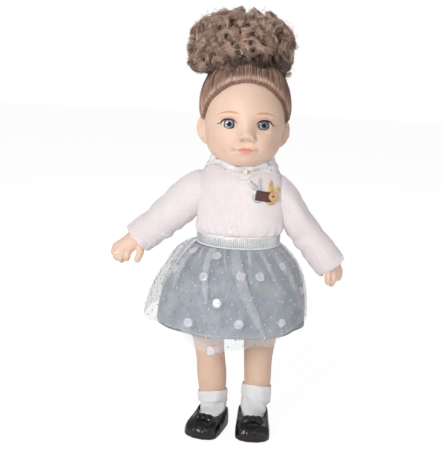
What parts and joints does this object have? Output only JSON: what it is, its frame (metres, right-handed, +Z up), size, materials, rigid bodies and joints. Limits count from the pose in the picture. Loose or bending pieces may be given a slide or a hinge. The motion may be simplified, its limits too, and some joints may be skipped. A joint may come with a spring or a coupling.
{
  "type": "soft doll",
  "caption": "Dressed play doll with a cloth body, turning vinyl head, swinging vinyl arms and legs, upswept curly hair, knitted sweater, lined tulle skirt, socks and bow shoes.",
  "frame": {"origin": "on the floor, below the middle of the doll's bounding box", "axes": "+Z up, the face looks along -Y, the doll's own left is +X"},
  "size_m": [0.2534, 0.1632, 0.4605],
  "materials": {
    "vinyl": "soft matt vinyl",
    "eye_white": "glossy",
    "iris": "printed disc",
    "lens": "clear polished",
    "hair": "synthetic fibre, slight sheen",
    "hair_elastic": "covered elastic",
    "body_cloth": "woven cotton",
    "filling": "polyester fibre",
    "elastic": "braided",
    "nylon": "smooth",
    "cup": "moulded",
    "knit": "fuzzy knit",
    "tape": "hook and loop",
    "collar_tulle": "sheer",
    "bead": "pearly",
    "silver_glitter": "glitter",
    "gold_glitter": "glitter",
    "label": "plain",
    "button": "bare",
    "lurex_band": "metallic rib",
    "lining": "plain woven",
    "tulle": "sheer with dots and sequins",
    "sock": "rib knit",
    "patent": "patent",
    "sole": "matt"
  },
  "bodies": {
    "torso": {"torso_cover": "body_cloth", "torso_filling": "filling", "arm_elastic": "elastic", "neck_tie": "nylon", "sweater_body": "knit", "sweater_back_tape": "tape", "collar_frill": "collar_tulle", "collar_bead": "bead", "rabbit_patch_silver": "silver_glitter", "rabbit_patch_gold": "gold_glitter", "badge_label": "label", "badge_button": "button", "waistband": "lurex_band", "skirt_lining": "lining", "skirt_tulle": "tulle"},
    "head": {"head_shell": "vinyl", "hair_cap": "hair", "hair_tie": "hair_elastic", "hair_puff": "hair", "eye_ball_left": "eye_white", "eye_iris_left": "iris", "eye_lens_left": "lens", "eye_ball_right": "eye_white", "eye_iris_right": "iris", "eye_lens_right": "lens"},
    "hip_cord": {"hip_elastic": "elastic"},
    "arm_left": {"arm_left": "vinyl", "arm_cup_left": "cup", "sleeve_left": "knit"},
    "arm_right": {"arm_right": "vinyl", "arm_cup_right": "cup", "sleeve_right": "knit"},
    "leg_left": {"leg_left": "vinyl", "leg_cup_left": "cup", "sock_left": "sock", "shoe_upper_left": "patent", "shoe_sole_left": "sole", "shoe_bow_left": "patent"},
    "leg_right": {"leg_right": "vinyl", "leg_cup_right": "cup", "sock_right": "sock", "shoe_upper_right": "patent", "shoe_sole_right": "sole", "shoe_bow_right": "patent"}
  },
  "joints": [
    {"name": "head_turn", "type": "hinge", "parent": "torso", "child": "head", "pos_m": [0.0086, 0, 0.29], "axis": [0, 0, 1], "range_deg": [-60, 60]},
    {"name": "shoulder_left_swing", "type": "hinge", "parent": "torso", "child": "arm_left", "pos_m": [0.0546, 0, 0.266], "axis": [-1, 0, 0], "range_deg": [-45, 110]},
    {"name": "shoulder_right_swing", "type": "hinge", "parent": "torso", "child": "arm_right", "pos_m": [-0.0374, 0, 0.266], "axis": [-1, 0, 0], "range_deg": [-45, 110]},
    {"name": "hips_sit", "type": "hinge", "parent": "torso", "child": "hip_cord", "pos_m": [0.0086, 0, 0.172], "axis": [-1, 0, 0], "range_deg": [0, 65], "deforming": ["skirt_lining", "skirt_tulle"]},
    {"name": "hip_left_swing", "type": "hinge", "parent": "hip_cord", "child": "leg_left", "pos_m": [0.0386, 0, 0.172], "axis": [-1, 0, 0], "range_deg": [-30, 20]},
    {"name": "hip_right_swing", "type": "hinge", "parent": "hip_cord", "child": "leg_right", "pos_m": [-0.0214, 0, 0.172], "axis": [-1, 0, 0], "range_deg": [-30, 20]}
  ]
}
